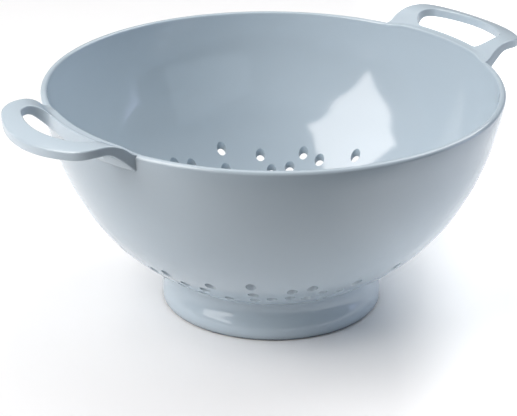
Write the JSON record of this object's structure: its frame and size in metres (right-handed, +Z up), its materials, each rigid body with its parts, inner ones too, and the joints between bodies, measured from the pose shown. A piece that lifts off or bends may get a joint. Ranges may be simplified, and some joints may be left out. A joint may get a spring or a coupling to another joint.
{
  "type": "footed colander",
  "caption": "Round footed colander bowl with drain holes and two looped side handles that rise from the rim.",
  "frame": {"origin": "centre of the foot ring's base, on the surface that the colander stands on", "axes": "+Z up along the bowl's axis, +X through the middle of the right handle"},
  "size_m": [0.3032, 0.24, 0.1276],
  "materials": {
    "bowl": "smooth glossy moulded melamine, pale blue-grey all through",
    "foot": "smooth glossy moulded melamine, pale blue-grey all through",
    "handle": "smooth glossy moulded melamine, pale blue-grey all through"
  },
  "bodies": {
    "root": {"bowl": "bowl", "foot_ring": "foot", "handle_left": "handle", "handle_right": "handle"}
  },
  "joints": []
}
